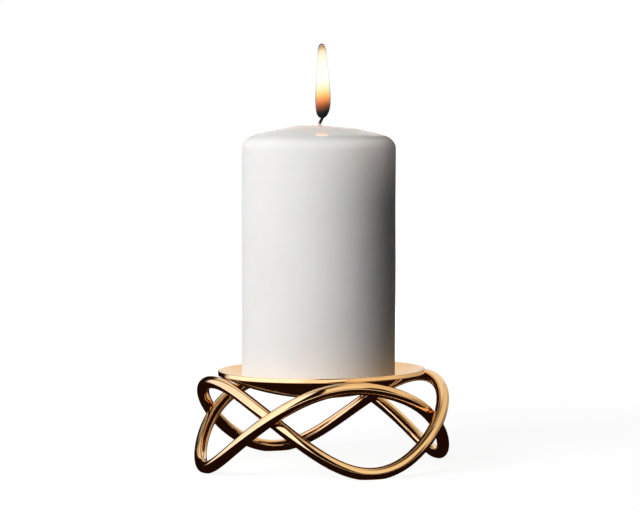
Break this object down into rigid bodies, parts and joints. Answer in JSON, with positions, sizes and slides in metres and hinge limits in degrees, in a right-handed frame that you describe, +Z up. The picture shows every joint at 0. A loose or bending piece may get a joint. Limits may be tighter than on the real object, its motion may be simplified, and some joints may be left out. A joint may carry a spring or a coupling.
{
  "type": "pillar candle holder",
  "caption": "Free-standing pillar candle holder: a shallow round gold dish carried on the crests of interlaced wavy wire rings, with a lit white pillar candle that lifts off.",
  "frame": {"origin": "on the table, under the middle of the dish", "axes": "+Z up along the dish's axis; -Y is the front, through a foot of front_wave_ring; the feet of side_wave_ring are on X"},
  "size_m": [0.1208, 0.1208, 0.1923],
  "materials": {
    "gold": "polished",
    "wax": "satin",
    "wick_cotton": "matte",
    "tin": "satin",
    "flame": "matte"
  },
  "bodies": {
    "holder": {"candle_dish": "gold", "front_wave_ring": "gold", "side_wave_ring": "gold"},
    "candle": {"candle_wax": "wax", "candle_wick": "wick_cotton", "wick_sustainer": "tin", "candle_flame": "flame"}
  },
  "joints": [
    {"name": "candle_lift", "type": "slide", "parent": "holder", "child": "candle", "axis": [0, 0, 1], "range_m": [0, 0.06]}
  ]
}
